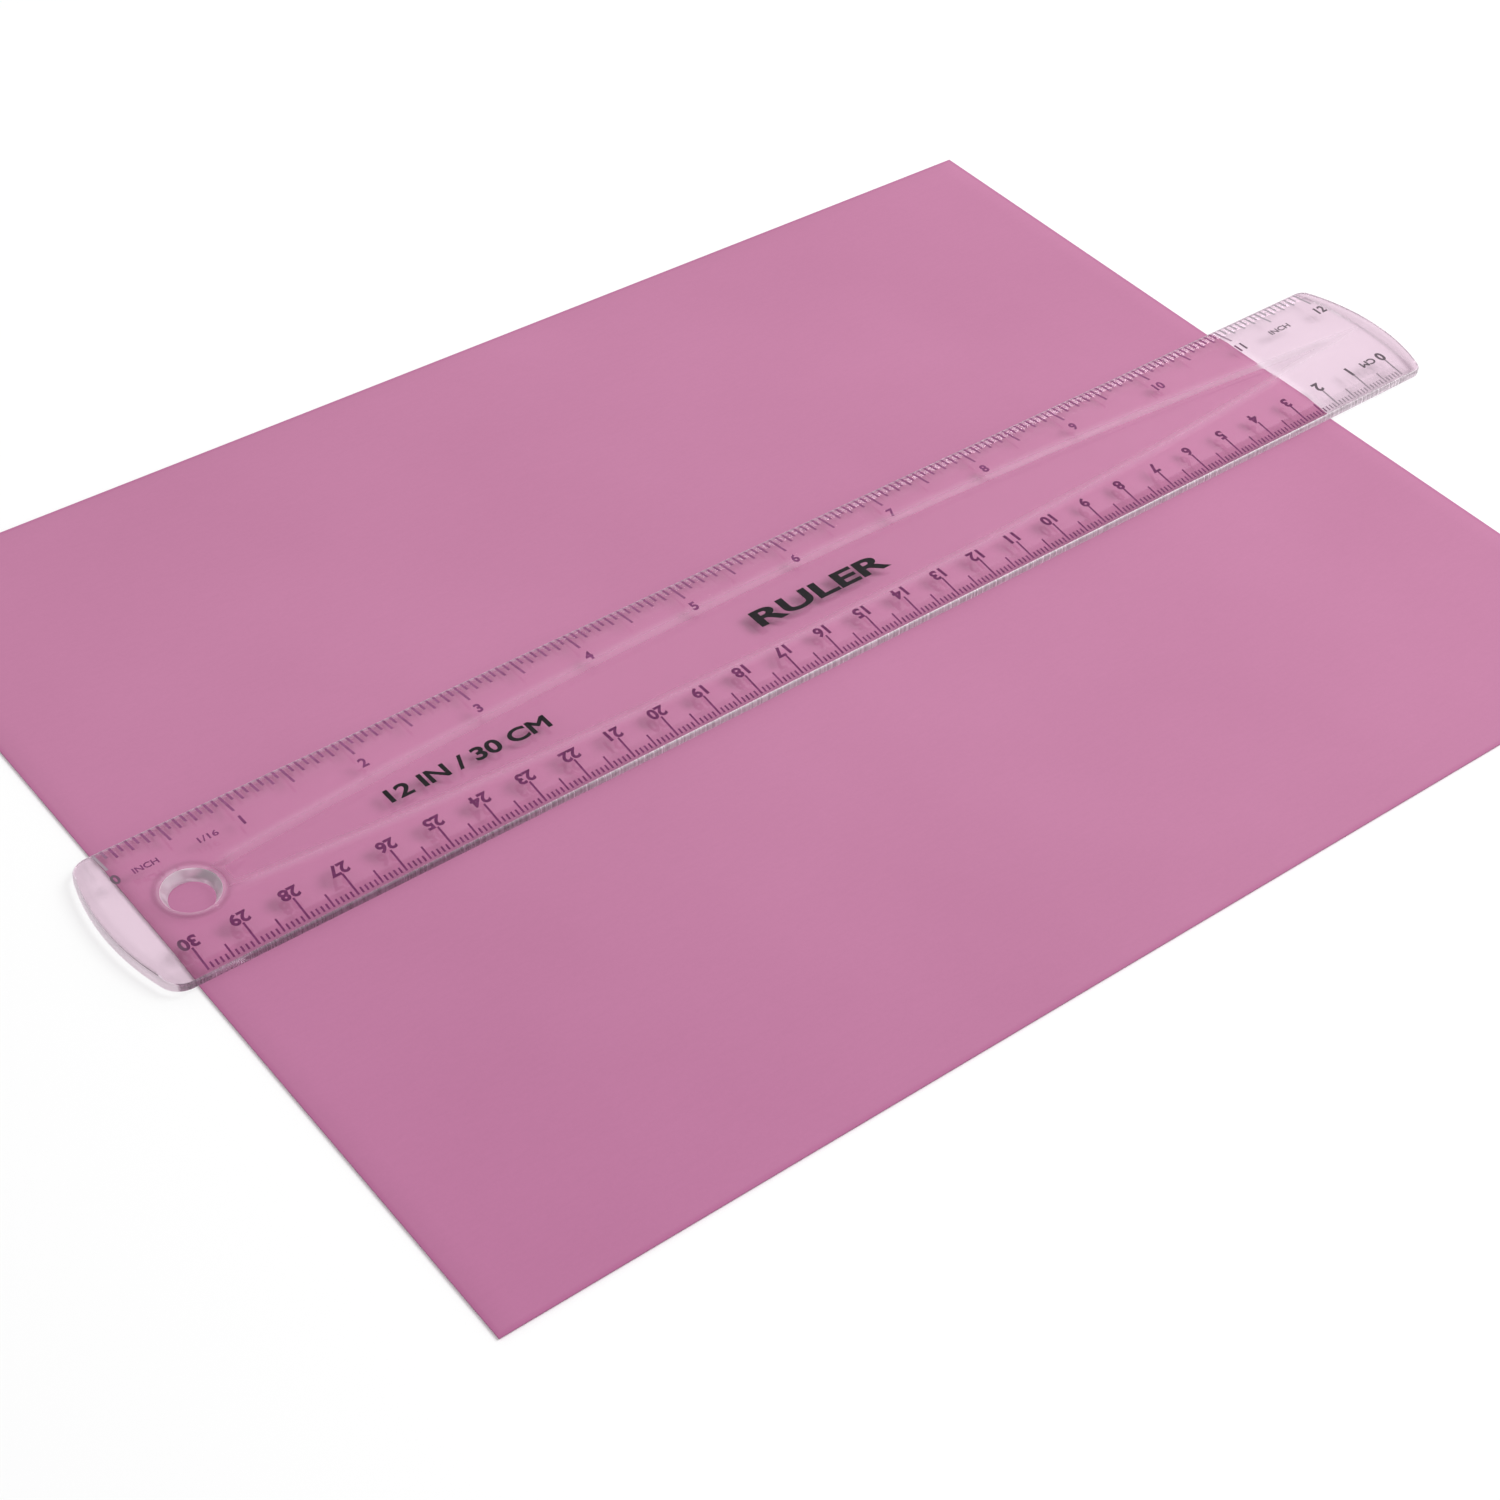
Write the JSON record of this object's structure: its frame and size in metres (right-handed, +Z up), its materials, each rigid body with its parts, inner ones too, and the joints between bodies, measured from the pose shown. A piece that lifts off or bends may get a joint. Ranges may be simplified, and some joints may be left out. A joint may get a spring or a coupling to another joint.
{
  "type": "clear ruler on a card sheet",
  "caption": "Clear moulded ruler with bevelled scale edges, bowed ends and a hang hole, lying across a flat rectangular sheet of coloured card.",
  "frame": {"origin": "centre of the sheet's underside, on the surface that the sheet lies on", "axes": "+X along the sheet's long side, towards the end of the ruler without a hole; +Y across the sheet, towards the ruler's inch edge; +Z up"},
  "size_m": [0.32, 0.216, 0.0031],
  "materials": {
    "card": "matte",
    "clear_plastic": "gloss",
    "print_ink": "satin"
  },
  "bodies": {
    "sheet": {"card_sheet": "card"},
    "ruler": {"ruler": "clear_plastic"}
  },
  "joints": [
    {"name": "ruler_slide", "type": "slide", "parent": "sheet", "child": "ruler", "axis": [0, 1, 0], "range_m": [-0.085, 0.085]}
  ]
}
